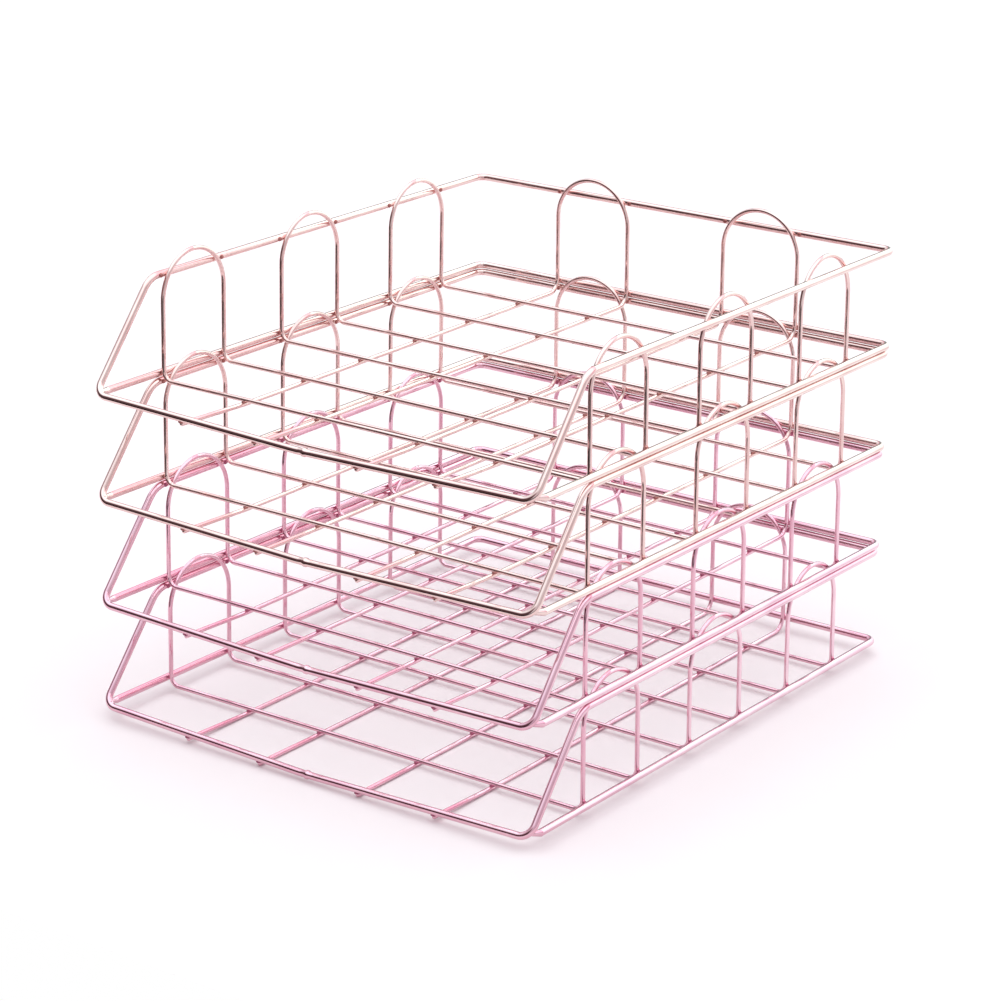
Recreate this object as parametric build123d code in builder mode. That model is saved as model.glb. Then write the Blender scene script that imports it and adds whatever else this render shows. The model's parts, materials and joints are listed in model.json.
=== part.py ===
# Four-tier document tray: four identical stacking trays, each welded from seven bent steel wires.
# Millimetres, +Z up, front towards -Y, origin on the desk under the middle of the stack.
import os

from build123d import *

# Wires: as wide across their flats as the round wire is thick, and bent in straight steps of so many
# degrees, because many long wires have to stay light
rail_wire = 3.5
grid_wire = 2.2
rail_sides = 8
grid_sides = 6
bend_step = 15.0

# One tray, measured between the axes of its wires
tray_width = 250.0
tray_depth = 300.0
rail_rise = 48.0
post_setback = 38.5
floor_drop = 3.4
front_dip = 3.0

# Bends, measured at the wire's axis; legs begin to bend a set way above the base rail's axis
front_corner_radius = 6.5
post_bend_radius = 12.0
back_corner_radius = 5.0
dip_radius = 300.0
bend_start = 1.6

# Legs, arches and floor wires
leg_span = 43.5
arch_rise = 8.7
first_leg_back = 44.5
last_leg_ahead = 38.0
hairpin_side_gap = 52.5
dip_flat = 10.0
stub_length = 0.5

# Welds and stacking, and the names of the trays and of each tray's cross loops
weld_setdown = 0.1
stack_clearance = 0.45
stack_gap = 0.3
tray_names = ["bottom_tray", "lower_tray", "upper_tray", "top_tray"]
loop_names = ["front", "middle", "rear"]

# Axis to axis where two welded wires cross
rail_radius = rail_wire / 2
grid_radius = grid_wire / 2
rail_weld_reach = rail_radius + grid_radius - weld_setdown
grid_weld_reach = grid_wire - weld_setdown

# Half sizes: the top rails lie inside the base rail, so the next tray's base drops over the arches
base_x = tray_width / 2
base_y = tray_depth / 2
top_x = base_x - stack_clearance
top_y = base_y - stack_clearance

# Places of the legs: cross loops are spread evenly between the first leg and the last one,
# and the back hairpins stand a set way in from the sides
last_loop_back = tray_depth - last_leg_ahead - leg_span
loop_pitch = (last_loop_back - first_leg_back) / (len(loop_names) - 1)
first_leg = first_leg_back - base_y
hairpin_leg = base_x - hairpin_side_gap

# Legs touch the base rail where their bend has just begun, and the top rails square on
leg_base_inset = (rail_weld_reach**2 - (bend_start / 2) ** 2) ** 0.5
leg_lean = rail_weld_reach + stack_clearance - leg_base_inset

# Heights from the base rail's axis: lengthwise floor wires pass under the cross wires
runner_drop = floor_drop + grid_weld_reach
arch_radius = leg_span / 2
spring_height = rail_rise + arch_rise - arch_radius

# Heights of the trays: each base rail rests on the top rail below it
stack_pitch = rail_rise + rail_wire + stack_gap
desk_to_base = runner_drop + grid_radius


def leg_inset(height):
    """How far inside the base rail's axis a leg's axis is: legs lean in with the top rails."""
    return leg_base_inset + leg_lean * height / rail_rise


def runner_end_drop(across):
    """How far below the base rail a lengthwise floor wire ends: it meets the dipped front wire."""
    dip = front_dip * (base_x - abs(across)) / (base_x - dip_flat / 2)
    return dip + rail_weld_reach


def stepped(stretches):
    """Corners of a wire's path: the ends of its straight stretches and the steps of its bends."""
    corners = [stretches[0] @ 0]
    for stretch in stretches:
        turn = (stretch % 0).get_angle(stretch % 1)
        steps = max(1, round(turn / bend_step))
        corners += [stretch @ (step / steps) for step in range(1, steps + 1)]
    return corners


def section_plane(path):
    """Square to the start of a wire's path, so that the wire's first flats face up and down."""
    return Plane(origin=path @ 0, x_dir=(0, 0, 1), z_dir=path % 0)


def frame_loop(level):
    """Front wire, posts, side rails and back rail: one closed loop of thick wire."""
    front = -base_y
    top = level + rail_rise
    with BuildPart() as loop:
        with BuildLine():
            half = FilletPolyline(
                (0, top_y, top),
                (top_x, top_y, top),
                (top_x, front + post_setback, top),
                (base_x, front, level),
                (dip_flat / 2, front, level - front_dip),
                (0, front, level - front_dip),
                radius=[back_corner_radius, post_bend_radius, front_corner_radius, dip_radius],
                mode=Mode.PRIVATE,
            )
            path = Polyline(*stepped(half.edges()))
        with BuildSketch(section_plane(path)):
            RegularPolygon(rail_radius, rail_sides, major_radius=False, rotation=180 / rail_sides)
        sweep(transition=Transition.RIGHT)
        mirror(about=Plane.YZ)
    return loop.part


def base_rail(level, frame):
    """Left, back and right of the floor: a thick U, its ends shaped to the front corner bends."""
    rail_end = rail_radius - base_y
    with BuildPart() as rail:
        with BuildLine():
            half = FilletPolyline(
                (0, base_y, level),
                (base_x, base_y, level),
                (base_x, rail_end, level),
                radius=back_corner_radius,
                mode=Mode.PRIVATE,
            )
            path = Polyline(*stepped(half.edges()))
        with BuildSketch(section_plane(path)):
            RegularPolygon(rail_radius, rail_sides, major_radius=False, rotation=180 / rail_sides)
        sweep(transition=Transition.RIGHT)
        mirror(about=Plane.YZ)
        add(frame, mode=Mode.SUBTRACT)
    return rail.part


def cross_loop(level, front_leg):
    """Two arches, four legs and two cross wires of the floor: one closed loop of thin wire."""
    rear_leg = front_leg + leg_span
    floor = level - floor_drop
    spring = level + spring_height
    corner_x = base_x - leg_inset(-floor_drop)
    spring_x = base_x - leg_inset(spring_height)
    with BuildPart() as loop:
        with BuildLine():
            rising = FilletPolyline(
                (0, front_leg, floor),
                (corner_x, front_leg, floor),
                (spring_x, front_leg, spring),
                radius=floor_drop + bend_start,
                mode=Mode.PRIVATE,
            )
            arch = TangentArc(
                rising @ 1, (spring_x, rear_leg, spring), tangent=rising % 1, mode=Mode.PRIVATE
            )
            falling = FilletPolyline(
                (spring_x, rear_leg, spring),
                (corner_x, rear_leg, floor),
                (0, rear_leg, floor),
                radius=floor_drop + bend_start,
                mode=Mode.PRIVATE,
            )
            path = Polyline(*stepped(rising.edges() + [arch] + falling.edges()))
        with BuildSketch(section_plane(path)):
            RegularPolygon(grid_radius, grid_sides, major_radius=False, rotation=180 / grid_sides)
        sweep(transition=Transition.RIGHT)
        mirror(about=Plane.YZ)
    return loop.part


def back_hairpin(level, left_leg):
    """One arch and two legs at the back, bent forward into two lengthwise floor wires, which rise
    a little from the first cross wire to the front wire."""
    right_leg = left_leg + leg_span
    floor = level - runner_drop
    spring = level + spring_height
    front_end = -base_y - stub_length
    left_end = (left_leg, front_end, level - runner_end_drop(left_leg))
    right_end = (right_leg, front_end, level - runner_end_drop(right_leg))
    corner_y = base_y - leg_inset(-runner_drop)
    spring_y = base_y - leg_inset(spring_height)
    with BuildPart() as hairpin:
        with BuildLine():
            rising = FilletPolyline(
                (left_leg, first_leg, floor),
                (left_leg, corner_y, floor),
                (left_leg, spring_y, spring),
                radius=runner_drop + bend_start,
                mode=Mode.PRIVATE,
            )
            arch = TangentArc(
                rising @ 1, (right_leg, spring_y, spring), tangent=rising % 1, mode=Mode.PRIVATE
            )
            falling = FilletPolyline(
                (right_leg, spring_y, spring),
                (right_leg, corner_y, floor),
                (right_leg, first_leg, floor),
                radius=runner_drop + bend_start,
                mode=Mode.PRIVATE,
            )
            bends = stepped(rising.edges() + [arch] + falling.edges())
            path = Polyline(left_end, *bends, right_end)
        with BuildSketch(section_plane(path)):
            RegularPolygon(grid_radius, grid_sides, major_radius=False, rotation=180 / grid_sides)
        sweep(transition=Transition.RIGHT)
    return hairpin.part


os.makedirs("parts", exist_ok=True)
for tier, tray in enumerate(tray_names):
    level = desk_to_base + tier * stack_pitch
    frame = frame_loop(level)
    wires = {"frame_loop": frame, "base_rail": base_rail(level, frame)}
    for row, place in enumerate(loop_names):
        wires[f"cross_loop_{place}"] = cross_loop(level, first_leg + row * loop_pitch)
    wires["back_hairpin_left"] = back_hairpin(level, -hairpin_leg)
    wires["back_hairpin_right"] = back_hairpin(level, hairpin_leg - leg_span)
    for wire, solid in wires.items():
        solid.label = f"{tray}_{wire}"
        export_step(solid, f"parts/{solid.label}.step")
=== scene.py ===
import json
import math

import bpy
from mathutils import Matrix, Vector

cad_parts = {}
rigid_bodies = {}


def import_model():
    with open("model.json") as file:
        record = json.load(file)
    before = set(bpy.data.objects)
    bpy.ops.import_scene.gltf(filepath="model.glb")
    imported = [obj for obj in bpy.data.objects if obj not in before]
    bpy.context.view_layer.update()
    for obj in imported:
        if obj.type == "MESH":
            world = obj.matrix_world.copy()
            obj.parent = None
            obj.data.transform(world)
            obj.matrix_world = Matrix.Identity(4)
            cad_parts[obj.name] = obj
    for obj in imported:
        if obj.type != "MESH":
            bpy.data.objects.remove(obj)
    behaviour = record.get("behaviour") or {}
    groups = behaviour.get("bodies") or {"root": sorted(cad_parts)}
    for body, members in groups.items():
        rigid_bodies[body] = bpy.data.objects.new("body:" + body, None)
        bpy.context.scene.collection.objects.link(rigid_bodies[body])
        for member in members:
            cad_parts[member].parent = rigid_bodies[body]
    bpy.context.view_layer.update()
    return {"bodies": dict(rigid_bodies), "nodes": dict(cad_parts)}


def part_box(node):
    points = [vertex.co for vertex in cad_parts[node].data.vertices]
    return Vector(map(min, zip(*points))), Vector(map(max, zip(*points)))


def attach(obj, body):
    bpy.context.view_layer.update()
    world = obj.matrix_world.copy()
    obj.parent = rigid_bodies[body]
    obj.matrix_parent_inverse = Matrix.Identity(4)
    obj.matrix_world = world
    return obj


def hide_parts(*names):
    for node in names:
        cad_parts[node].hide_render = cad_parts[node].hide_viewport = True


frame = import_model()

# Frame loops: each tray's outline is one thick steel wire, fed and bent into the dipped front wire,
# two posts that lean back, the side rails and the back rail. Its ends meet in the middle of the front
# wire, where they are butt-welded, and the weld's collar is left standing when the tray is plated.
MM = 0.001
weld_sink = 0.1 * MM
post_setback = 38.5 * MM
front_dip = 3 * MM
dip_flat = 10 * MM
front_corner_radius = 6.5 * MM
post_bend_radius = 12 * MM
back_corner_radius = 5 * MM
dip_radius = 100 * MM
collar_crest = 0.6 * MM
collar_foot = 1.4 * MM
collar_swell = 1.22
rail_facets = 24
bend_facet_degrees = 6
crease_degrees = 40
same_place = 0.01 * MM
no_length = 0.001 * MM
rail_low, rail_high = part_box("bottom_tray_base_rail")
loop_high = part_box("bottom_tray_frame_loop")[1]
floor_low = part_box("bottom_tray_cross_loop_front")[0].z
runner_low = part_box("bottom_tray_back_hairpin_right")[0].z
rail_radius = (rail_high.z - rail_low.z) / 2
grid_radius = (floor_low - runner_low + weld_sink) / 2
base = (rail_low.z + rail_high.z) / 2
base_x = rail_high.x - rail_radius
base_y = rail_high.y - rail_radius
top = loop_high.z - rail_radius
top_y = loop_high.y - rail_radius
stack_clearance = base_y - top_y
top_x = base_x - stack_clearance
front_level = base - front_dip

trays = sorted(frame["bodies"], key=lambda tray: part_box(f"{tray}_base_rail")[0].z)
tray_finish = {
    "bottom_tray": "pink_plating",
    "lower_tray": "pink_plating",
    "upper_tray": "rose_gold_plating",
    "top_tray": "rose_gold_plating",
}


def linear(code):
    """The linear colour of an sRGB hex code."""
    channels = [int(code[place:place + 2], 16) / 255 for place in (1, 3, 5)]
    return [c / 12.92 if c <= 0.04045 else ((c + 0.055) / 1.055) ** 2.4 for c in channels] + [1.0]


def node(tree, kind, inputs=None, **settings):
    """Adds a node: settings are its own properties, inputs are values or other nodes' sockets."""
    made = tree.nodes.new(kind)
    for name, value in settings.items():
        setattr(made, name, value)
    for name, value in (inputs or {}).items():
        if isinstance(value, bpy.types.NodeSocket):
            tree.links.new(value, made.inputs[name])
        else:
            made.inputs[name].default_value = value
    return made


def plated_steel(name, colour, deep_colour):
    """Drawn steel wire with a thin bright decorative plating over copper. The bath leaves a slow drift
    of tint along the wire, patches that are a little duller, and the faint ripple of the drawn wire
    under the plate, all drawn some times coarser than they are, because finer would not show."""
    finish = bpy.data.materials.new(name)
    finish.use_nodes = True
    tree = finish.node_tree
    shader = tree.nodes["Principled BSDF"]
    place = node(tree, "ShaderNodeTexCoord").outputs["Object"]
    tint_patch = 22 * MM
    dull_patch = 4 * MM
    ripple = 1.6 * MM
    drift = node(tree, "ShaderNodeTexNoise", {"Vector": place, "Scale": 1 / tint_patch, "Detail": 3.0})
    tint = node(
        tree,
        "ShaderNodeMapRange",
        {"Value": drift.outputs["Fac"], "From Min": 0.35, "From Max": 0.7, "To Min": 0.0, "To Max": 1.0},
    )
    colours = node(
        tree,
        "ShaderNodeMix",
        {0: tint.outputs["Result"], 6: linear(colour), 7: linear(deep_colour)},
        data_type="RGBA",
    )
    tree.links.new(colours.outputs[2], shader.inputs["Base Color"])
    dulling = node(tree, "ShaderNodeTexNoise", {"Vector": place, "Scale": 1 / dull_patch, "Detail": 4.0})
    roughness = node(
        tree,
        "ShaderNodeMapRange",
        {"Value": dulling.outputs["Fac"], "From Min": 0.3, "From Max": 0.75, "To Min": 0.05, "To Max": 0.1},
    )
    tree.links.new(roughness.outputs["Result"], shader.inputs["Roughness"])
    drawn = node(tree, "ShaderNodeTexNoise", {"Vector": place, "Scale": 1 / ripple, "Detail": 2.0})
    surface = node(
        tree,
        "ShaderNodeBump",
        {"Height": drawn.outputs["Fac"], "Strength": 0.25, "Distance": 0.03 * MM},
    )
    tree.links.new(surface.outputs["Normal"], shader.inputs["Normal"])
    shader.inputs["Metallic"].default_value = 1.0
    return finish


plating = {
    "rose_gold_plating": plated_steel("rose_gold_plated_steel", "#F1D5D1", "#E6C0BD"),
    "pink_plating": plated_steel("pink_plated_steel", "#EFC3D0", "#E3AEC0"),
}


def bent_wire(name, corners, bends, radius, sides):
    """A round wire fed from corner to corner and bent at each one round a former of that radius.
    A corner in line with its neighbours only marks the wire with a ring of its own."""
    points = [Vector(corner) for corner in corners]
    here = points[0]
    heading = (points[1] - here).normalized()
    bpy.ops.object.select_all(action="DESELECT")
    bpy.ops.mesh.primitive_circle_add(
        vertices=sides,
        radius=radius,
        location=here,
        rotation=heading.to_track_quat("Z", "Y").to_euler(),
    )
    wire = bpy.context.object
    wire.name = name
    bpy.ops.object.mode_set(mode="EDIT")
    for corner, after, bend in zip(points[1:-1], points[2:], bends):
        next_heading = (after - corner).normalized()
        turn = heading.angle(next_heading)
        feed = corner - heading * bend * math.tan(turn / 2) - here
        if feed.length > no_length:
            bpy.ops.mesh.extrude_region_move(TRANSFORM_OT_translate={"value": feed})
        if bend > 0:
            former = (next_heading - heading * heading.dot(next_heading)).normalized() * bend
            # Spin turns clockwise about its axis
            bpy.ops.mesh.spin(
                steps=max(2, math.ceil(math.degrees(turn) / bend_facet_degrees)),
                angle=turn,
                center=here + feed + former,
                axis=next_heading.cross(heading).normalized(),
            )
        here = corner + next_heading * bend * math.tan(turn / 2)
        heading = next_heading
    bpy.ops.mesh.extrude_region_move(TRANSFORM_OT_translate={"value": points[-1] - here})
    bpy.ops.object.mode_set(mode="OBJECT")
    bpy.ops.object.transform_apply(location=True, rotation=True, scale=True)
    return wire


def pick(piece):
    """Makes one piece the only one that the next operator acts on."""
    bpy.ops.object.select_all(action="DESELECT")
    piece.select_set(True)
    bpy.context.view_layer.objects.active = piece


def select_where(wire, test):
    """Selects the points of a wire that a test of their place picks, for the next edit."""
    bpy.ops.object.mode_set(mode="EDIT")
    bpy.ops.mesh.select_all(action="DESELECT")
    bpy.ops.object.mode_set(mode="OBJECT")
    for vertex in wire.data.vertices:
        vertex.select = test(vertex.co)
    bpy.ops.object.mode_set(mode="EDIT")


def close_by_mirror(wire):
    """The other half of a wire that is the same on the left as on the right."""
    mirror = wire.modifiers.new("other_half", "MIRROR")
    mirror.merge_threshold = same_place
    bpy.ops.object.modifier_apply(modifier=mirror.name)


def turn_faces_out(wire):
    """Joins the wire's seams and points all its faces outwards, shaded as a round wire."""
    bpy.ops.object.mode_set(mode="EDIT")
    bpy.ops.mesh.select_all(action="SELECT")
    bpy.ops.mesh.remove_doubles(threshold=0.005 * MM)
    bpy.ops.mesh.normals_make_consistent(inside=False)
    bpy.ops.object.mode_set(mode="OBJECT")
    bpy.ops.object.shade_smooth_by_angle(angle=math.radians(crease_degrees))


def fit_to_trays(wire, node_name, material_of, shift=(0, 0)):
    """One copy of a wire for each tray, raised to that tray's place in the stack and plated."""
    for tray in trays:
        pick(wire)
        bpy.ops.object.duplicate()
        copy = bpy.context.object
        copy.name = f"{tray}_plated_{node_name}"
        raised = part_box(f"{tray}_base_rail")[0].z - rail_low.z
        bpy.ops.transform.translate(value=(*shift, raised))
        bpy.ops.object.transform_apply(location=True, rotation=False, scale=False)
        copy.data.materials.append(material_of[tray_finish[tray]])
        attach(copy, tray)
        if f"{tray}_{node_name}" in frame["nodes"]:
            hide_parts(f"{tray}_{node_name}")


frame_loop = bent_wire(
    "frame_loop",
    [
        (0, -base_y, front_level),
        (collar_crest, -base_y, front_level),
        (collar_foot, -base_y, front_level),
        (dip_flat / 2, -base_y, front_level),
        (base_x, -base_y, base),
        (top_x, -base_y + post_setback, top),
        (top_x, top_y, top),
        (0, top_y, top),
    ],
    [0, 0, dip_radius, front_corner_radius, post_bend_radius, back_corner_radius],
    rail_radius,
    rail_facets,
)
select_where(frame_loop, lambda place: place.x < (collar_crest + collar_foot) / 2 and place.y < 0)
bpy.ops.transform.resize(
    value=(1, collar_swell, collar_swell), center_override=(0, -base_y, front_level)
)
bpy.ops.object.mode_set(mode="OBJECT")
close_by_mirror(frame_loop)
turn_faces_out(frame_loop)
fit_to_trays(frame_loop, "frame_loop", plating)
bpy.data.objects.remove(frame_loop)

# Base rails: the same thick wire, bent into a U that runs round the left, back and right of a tray's
# floor. Its two ends are pinched in the welding jaws and buried in the frame loop's front corners.
rail_end = rail_radius - base_y
pinch_length = 6 * MM
pinch_scale = 0.5
pinch_shift = (-1.5 * MM, -0.3 * MM, 1.2 * MM)
# A ring just behind the pinch keeps the long rail's shading straight
pinch_ring = 0.5 * MM
base_rail = bent_wire(
    "base_rail",
    [
        (0, base_y, base),
        (base_x, base_y, base),
        (base_x, rail_end + pinch_length + pinch_ring, base),
        (base_x, rail_end + pinch_length, base),
        (base_x, rail_end, base),
    ],
    [back_corner_radius, 0, 0],
    rail_radius,
    rail_facets,
)
select_where(base_rail, lambda place: abs(place.y - rail_end) < same_place)
bpy.ops.mesh.edge_face_add()
bpy.ops.transform.resize(
    value=(pinch_scale, pinch_scale, pinch_scale), center_override=(base_x, rail_end, base)
)
bpy.ops.transform.translate(value=pinch_shift)
bpy.ops.object.mode_set(mode="OBJECT")
close_by_mirror(base_rail)
turn_faces_out(base_rail)
fit_to_trays(base_rail, "base_rail", plating)
bpy.data.objects.remove(base_rail)

# Cross loops: thin wire, one closed loop for two cross wires of the floor, the four legs they turn up
# into and the arches over the legs. The legs are spot-welded inside both side rails, and the arches
# stand above the top rail, where they keep the next tray from sliding.
loop_places = ["front", "middle", "rear"]
grid_facets = 20
leg_span = 43.5 * MM
floor_drop = 3.4 * MM
bend_start = 1.6 * MM
first_leg = -105.5 * MM
loop_pitch = 87 * MM
arch_radius = leg_span / 2
floor_level = base - floor_drop
arch_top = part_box("bottom_tray_cross_loop_front")[1].z - grid_radius
rail_weld_reach = rail_radius + grid_radius - weld_sink
leg_base_inset = math.sqrt(rail_weld_reach**2 - (bend_start / 2) ** 2)
leg_lean = rail_weld_reach + stack_clearance - leg_base_inset


def leg_inset(height):
    """How far inside the base rail's line a leg is at a height: legs lean in with the top rails."""
    return leg_base_inset + leg_lean * (height - base) / (top - base)


cross_loop = bent_wire(
    "cross_loop",
    [
        (0, first_leg, floor_level),
        (base_x - leg_inset(floor_level), first_leg, floor_level),
        (base_x - leg_inset(arch_top), first_leg, arch_top),
        (base_x - leg_inset(arch_top), first_leg + leg_span, arch_top),
        (base_x - leg_inset(floor_level), first_leg + leg_span, floor_level),
        (0, first_leg + leg_span, floor_level),
    ],
    [floor_drop + bend_start, arch_radius, arch_radius, floor_drop + bend_start],
    grid_radius,
    grid_facets,
)
close_by_mirror(cross_loop)
turn_faces_out(cross_loop)
for row, place in enumerate(loop_places):
    fit_to_trays(cross_loop, f"cross_loop_{place}", plating, (0, row * loop_pitch))
bpy.data.objects.remove(cross_loop)

# Back hairpins: thin wire with an arch and two legs at the back, bent forward under the floor into two
# lengthwise wires. Their cut ends rise a little to the front wire, which is welded on top of them.
inner_leg = 29 * MM
outer_leg = inner_leg + leg_span
stub_length = 0.5 * MM
rise_radius = 50 * MM
cut_end_rounding = 0.9 * MM
cut_end_steps = 5
runner_level = runner_low + grid_radius
runner_bend = base - runner_level + bend_start
runner_end = -base_y - stub_length


def runner_end_level(across):
    """Height of a lengthwise wire's end at a place across the tray, under the dipped front wire."""
    return base - front_dip * (base_x - across) / (base_x - dip_flat / 2) - rail_weld_reach


hairpin = bent_wire(
    "back_hairpin",
    [
        (inner_leg, runner_end, runner_end_level(inner_leg)),
        (inner_leg, first_leg, runner_level),
        (inner_leg, base_y - leg_inset(runner_level), runner_level),
        (inner_leg, base_y - leg_inset(arch_top), arch_top),
        (outer_leg, base_y - leg_inset(arch_top), arch_top),
        (outer_leg, base_y - leg_inset(runner_level), runner_level),
        (outer_leg, first_leg, runner_level),
        (outer_leg, runner_end, runner_end_level(outer_leg)),
    ],
    [rise_radius, runner_bend, arch_radius, arch_radius, runner_bend, rise_radius],
    grid_radius,
    grid_facets,
)
bpy.ops.object.mode_set(mode="EDIT")
bpy.ops.mesh.select_all(action="SELECT")
bpy.ops.mesh.fill_holes(sides=0)
bpy.ops.mesh.select_all(action="DESELECT")
bpy.ops.object.mode_set(mode="OBJECT")
# Only the caps of the two cut ends have more than four corners
for face in hairpin.data.polygons:
    face.select = len(face.vertices) > 4
bpy.ops.object.mode_set(mode="EDIT")
bpy.ops.mesh.region_to_loop()
bpy.ops.mesh.bevel(offset=cut_end_rounding, segments=cut_end_steps, affect="EDGES")
bpy.ops.object.mode_set(mode="OBJECT")
turn_faces_out(hairpin)
fit_to_trays(hairpin, "back_hairpin_right", plating)
pick(hairpin)
bpy.ops.object.mode_set(mode="EDIT")
bpy.ops.mesh.select_all(action="SELECT")
bpy.ops.transform.resize(value=(-1, 1, 1), center_override=(0, 0, 0))
bpy.ops.object.mode_set(mode="OBJECT")
turn_faces_out(hairpin)
fit_to_trays(hairpin, "back_hairpin_left", plating)
bpy.data.objects.remove(hairpin)

# Welds: each crossing is resistance-welded, so a flat bead of steel is squeezed out where two wires
# meet. It is rougher than the wires, and the plating comes out dull and dark on it.
bead_wide = 1.5 * MM
leg_bead_wide = 1.15 * MM
bead_thick = 0.75 * MM


def burnt_plating(name, colour, scorched):
    """Plating over a weld: the scale left on the bead makes it matt, mottled and darker."""
    finish = bpy.data.materials.new(name)
    finish.use_nodes = True
    tree = finish.node_tree
    shader = tree.nodes["Principled BSDF"]
    place = node(tree, "ShaderNodeTexCoord").outputs["Object"]
    scale_patch = 0.9 * MM
    mottle = node(tree, "ShaderNodeTexNoise", {"Vector": place, "Scale": 1 / scale_patch, "Detail": 4.0})
    colours = node(
        tree,
        "ShaderNodeMix",
        {0: mottle.outputs["Fac"], 6: linear(colour), 7: linear(scorched)},
        data_type="RGBA",
    )
    tree.links.new(colours.outputs[2], shader.inputs["Base Color"])
    grain = node(
        tree,
        "ShaderNodeBump",
        {"Height": mottle.outputs["Fac"], "Strength": 0.6, "Distance": 0.15 * MM},
    )
    tree.links.new(grain.outputs["Normal"], shader.inputs["Normal"])
    shader.inputs["Metallic"].default_value = 1.0
    shader.inputs["Roughness"].default_value = 0.45
    return finish


weld_plating = {
    "rose_gold_plating": burnt_plating("rose_gold_plated_weld", "#CF8F8A", "#8A4E4A"),
    "pink_plating": burnt_plating("pink_plated_weld", "#CE7893", "#8E4460"),
}


def set_beads(size, places):
    """One flattened bead, a ball that is pressed between two wires, and a copy of it at each place."""
    bpy.ops.object.select_all(action="DESELECT")
    bpy.ops.mesh.primitive_uv_sphere_add(segments=10, ring_count=6, radius=1)
    bead = bpy.context.object
    bpy.ops.object.mode_set(mode="EDIT")
    bpy.ops.transform.resize(value=size, center_override=(0, 0, 0))
    bpy.ops.object.mode_set(mode="OBJECT")
    copies = []
    for place in places:
        pick(bead)
        bpy.ops.object.duplicate()
        bpy.ops.transform.translate(value=place)
        copies.append(bpy.context.object)
    bpy.data.objects.remove(bead)
    return copies


loop_fronts = [first_leg + row * loop_pitch for row in range(len(loop_places))]
legs = [front + side for front in loop_fronts for side in (0, leg_span)]
runners = [side * across for side in (-1, 1) for across in (inner_leg, outer_leg)]
rails = [(base + bend_start / 2, base_x, base_y), (top, top_x, top_y)]
floor_seams = [(x, y, runner_level + grid_radius) for x in runners for y in legs]
front_seams = [(x, -base_y, runner_end_level(abs(x)) + grid_radius) for x in runners]
back_seams = [(x, line - rail_radius, level) for level, _, line in rails for x in runners]
side_seams = [
    (side * (line - rail_radius), y, level) for level, line, _ in rails for side in (-1, 1) for y in legs
]
beads = set_beads((bead_wide, bead_wide, bead_thick), floor_seams + front_seams)
beads += set_beads((leg_bead_wide, bead_thick, leg_bead_wide), back_seams)
beads += set_beads((bead_thick, leg_bead_wide, leg_bead_wide), side_seams)
bpy.ops.object.select_all(action="DESELECT")
for bead in beads:
    bead.select_set(True)
bpy.context.view_layer.objects.active = beads[0]
bpy.ops.object.join()
bpy.ops.object.transform_apply(location=True, rotation=True, scale=True)
welds = bpy.context.object
welds.name = "welds"
turn_faces_out(welds)
fit_to_trays(welds, "welds", weld_plating)
bpy.data.objects.remove(welds)

# Studio floor: a wide matt white board on a table, which ends a hand's length in front of the stack.
# It fills the picture and takes the stack's soft shadow. Beside and behind the stack on the right, a
# cool pool of light is painted on it as an emission that only glossy rays see, so only the plated wires
# show it.
floor_size = 12.0
floor_front = -0.33
painted_light_front, painted_light_full = -0.12, 0.04
painted_light_edge = 0.01
painted_light_reach = 0.45
bpy.ops.object.select_all(action="DESELECT")
bpy.ops.mesh.primitive_plane_add(size=floor_size, location=(0, floor_front + floor_size / 2, 0))
studio_floor = bpy.context.object
studio_floor.name = "studio_floor"
board = bpy.data.materials.new("matt_white_board")
board.use_nodes = True
board_tree = board.node_tree
board_tree.nodes.clear()
board_rays = node(board_tree, "ShaderNodeLightPath")
board_colour = node(
    board_tree,
    "ShaderNodeMix",
    {0: board_rays.outputs["Is Camera Ray"], 6: linear("#F4F2F2"), 7: linear("#FFFFFF")},
    data_type="RGBA",
)
board_matt = node(board_tree, "ShaderNodeBsdfDiffuse", {"Color": board_colour.outputs[2]})
board_place = node(board_tree, "ShaderNodeNewGeometry").outputs["Position"]
board_spot = node(board_tree, "ShaderNodeSeparateXYZ", {0: board_place})
# Painted light: a cool glow on the board right of the stack, brightest just beside it and fainter further
# out
painted_light = node(board_tree, "ShaderNodeValToRGB", {0: board_spot.outputs["X"]})
patches = painted_light.color_ramp.elements
patches[0].position = base_x
patches[0].color = linear("#000000")
patches[1].position = painted_light_reach
patches[1].color = linear("#1E3A3A")
patches.new(base_x + painted_light_edge).color = linear("#7AB4A8")
painted_light_towards_back = node(
    board_tree,
    "ShaderNodeMapRange",
    {
        "Value": board_spot.outputs["Y"],
        "From Min": painted_light_front,
        "From Max": painted_light_full,
        "To Min": 0.0,
        "To Max": 1.0,
    },
)
# The painted glow grows towards the back and shows only in glossy rays, so the camera sees the plain board
painted_light_in_metal = node(
    board_tree,
    "ShaderNodeMath",
    {0: painted_light_towards_back.outputs[0], 1: board_rays.outputs["Is Glossy Ray"]},
    operation="MULTIPLY",
)
# The board glows with this painted light, though no lamp lights it there
painted_board_glow = node(
    board_tree,
    "ShaderNodeEmission",
    {"Color": painted_light.outputs[0], "Strength": painted_light_in_metal.outputs[0]},
)
board_both = node(board_tree, "ShaderNodeAddShader", {0: board_matt.outputs[0], 1: painted_board_glow.outputs[0]})
node(board_tree, "ShaderNodeOutputMaterial", {"Surface": board_both.outputs[0]})
studio_floor.data.materials.append(board)

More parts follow.
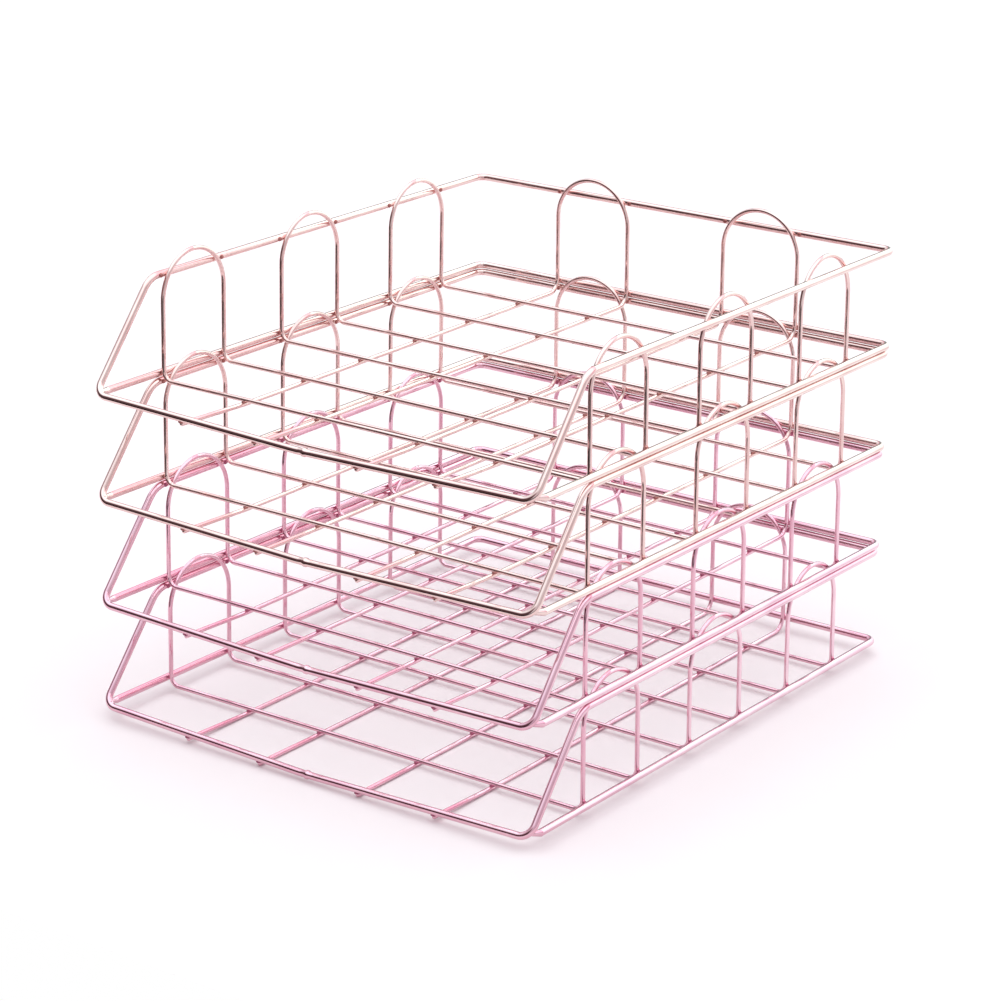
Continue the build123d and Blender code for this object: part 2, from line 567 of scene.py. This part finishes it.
# Studio light: one broad soft lamp overhead with a faintly rosy fill, in a bright room with a dark
# corner at the front left, a dimmer wall on the right and a white backdrop that ends at the left.
# The plated wires show these as their bright edges and dark middles.
bpy.ops.object.light_add(type="SUN", location=(0, 0, 3), rotation=(math.radians(-12), math.radians(8), 0))
lamp = bpy.context.object
lamp.name = "overhead_softbox"
lamp.data.energy = 0.92
lamp.data.angle = math.radians(100)
dark_corner = Vector((-0.5, -0.82, 0.2)).normalized()
right_wall = Vector((0.9, -0.3, 0.3)).normalized()
side_light, rosy_edge, backdrop_edge, backdrop_full = 0.45, 0.6, 0.695, 0.73
room = bpy.data.worlds.new("studio_room")
bpy.context.scene.world = room
room.use_nodes = True
tree = room.node_tree
tree.nodes.clear()
direction = node(tree, "ShaderNodeTexCoord").outputs["Generated"]
towards = node(tree, "ShaderNodeSeparateXYZ", {0: direction})
height = towards.outputs["Z"]
cornerward = node(tree, "ShaderNodeVectorMath", {0: direction, 1: dark_corner}, operation="DOT_PRODUCT")
rightward = node(tree, "ShaderNodeVectorMath", {0: direction, 1: right_wall}, operation="DOT_PRODUCT")
ceiling = node(
    tree,
    "ShaderNodeMapRange",
    {"Value": height, "From Min": 0.35, "From Max": 0.8, "To Min": 1.08, "To Max": 1.35},
    interpolation_type="SMOOTHSTEP",
)
above_table = node(
    tree,
    "ShaderNodeMapRange",
    {"Value": height, "From Min": -0.2, "From Max": 0.0, "To Min": 0.2, "To Max": 1.0},
    interpolation_type="SMOOTHSTEP",
)
under_ceiling = node(
    tree,
    "ShaderNodeMapRange",
    {"Value": height, "From Min": 0.5, "From Max": 0.72, "To Min": 0.91, "To Max": 0.0},
    interpolation_type="SMOOTHSTEP",
)
corner = node(
    tree,
    "ShaderNodeMapRange",
    {"Value": cornerward.outputs["Value"], "From Min": 0.5, "From Max": 0.8, "To Min": 0.0, "To Max": 1.0},
    interpolation_type="SMOOTHSTEP",
)
dim_wall = node(
    tree,
    "ShaderNodeMapRange",
    {"Value": rightward.outputs["Value"], "From Min": 0.6, "From Max": 0.85, "To Min": 0.0, "To Max": 0.28},
    interpolation_type="SMOOTHSTEP",
)
backdrop_end = node(
    tree,
    "ShaderNodeMapRange",
    {"Value": towards.outputs["X"], "From Min": -0.45, "From Max": -0.25, "To Min": 0.35, "To Max": 1.65},
    interpolation_type="SMOOTHSTEP",
)
backdrop = node(
    tree,
    "ShaderNodeMapRange",
    {
        "Value": towards.outputs["Y"],
        "From Min": backdrop_edge,
        "From Max": backdrop_full,
        "To Min": 1.0,
        "To Max": backdrop_end.outputs[0],
    },
    interpolation_type="SMOOTHSTEP",
)
lit = node(tree, "ShaderNodeMath", {0: ceiling.outputs[0], 1: above_table.outputs[0]}, operation="MULTIPLY")
bright = node(tree, "ShaderNodeMath", {0: lit.outputs[0], 1: backdrop.outputs[0]}, operation="MULTIPLY")
shade = node(
    tree,
    "ShaderNodeMath",
    {0: corner.outputs[0], 1: under_ceiling.outputs[0], 2: dim_wall.outputs[0]},
    operation="MULTIPLY_ADD",
)
unshaded = node(tree, "ShaderNodeMath", {0: 1.0, 1: shade.outputs[0]}, operation="SUBTRACT")
mirrored = node(
    tree,
    "ShaderNodeMath",
    {0: bright.outputs[0], 1: unshaded.outputs[0]},
    operation="MULTIPLY",
)
# The light is cool at the sides and on the backdrop, with a rosy band between them
side_colours = node(tree, "ShaderNodeValToRGB", {0: towards.outputs["Y"]})
stops = side_colours.color_ramp.elements
stops[0].position = side_light
stops[0].color = linear("#EBFCFF")
stops[1].position = backdrop_full
stops[1].color = linear("#E8FFFA")
for place in (rosy_edge, backdrop_edge):
    stops.new(place).color = linear("#F4CDDB")
wall_colour = node(
    tree,
    "ShaderNodeMix",
    {0: shade.outputs[0], 6: side_colours.outputs[0], 7: linear("#FFCFD5")},
    data_type="RGBA",
)
rays = node(tree, "ShaderNodeLightPath")
overhead = node(
    tree,
    "ShaderNodeMapRange",
    {"Value": height, "From Min": 0.3, "From Max": 0.9, "To Min": 0.1, "To Max": 1.29},
    interpolation_type="SMOOTHSTEP",
)
fill = node(tree, "ShaderNodeBackground", {"Color": linear("#FDF6FC"), "Strength": overhead.outputs[0]})
walls = node(
    tree,
    "ShaderNodeBackground",
    {"Color": wall_colour.outputs[2], "Strength": mirrored.outputs[0]},
)
white = node(tree, "ShaderNodeBackground", {"Color": linear("#FFFFFF"), "Strength": 1.0})
in_gloss = node(
    tree,
    "ShaderNodeMixShader",
    {"Fac": rays.outputs["Is Glossy Ray"], 1: fill.outputs[0], 2: walls.outputs[0]},
)
in_view = node(
    tree,
    "ShaderNodeMixShader",
    {"Fac": rays.outputs["Is Camera Ray"], 1: in_gloss.outputs[0], 2: white.outputs[0]},
)
node(tree, "ShaderNodeOutputWorld", {"Surface": in_view.outputs[0]})
bpy.context.scene.view_settings.view_transform = "Standard"

# Camera: a long lens some way off to the right of the front, a little above the stack and turned a
# little about its own axis.
camera_aim = Vector((-16.87, 21.63, 86.18)) * MM
camera_distance = 1610.7 * MM
camera_side = math.radians(35.881)
camera_height = math.radians(19.005)
camera_roll = math.radians(0.651)
bpy.ops.object.camera_add()
camera = bpy.context.object
camera.data.sensor_width = 36.0
camera.data.lens = 117.52
backward = Vector(
    (
        math.sin(camera_side) * math.cos(camera_height),
        -math.cos(camera_side) * math.cos(camera_height),
        math.sin(camera_height),
    )
)
level_turn = (-backward).to_track_quat("-Z", "Y").to_matrix()
camera.matrix_world = Matrix.Translation(camera_aim + backward * camera_distance) @ (
    level_turn @ Matrix.Rotation(camera_roll, 3, "Z")
).to_4x4()
camera.data.clip_end = 50.0
bpy.context.scene.camera = camera
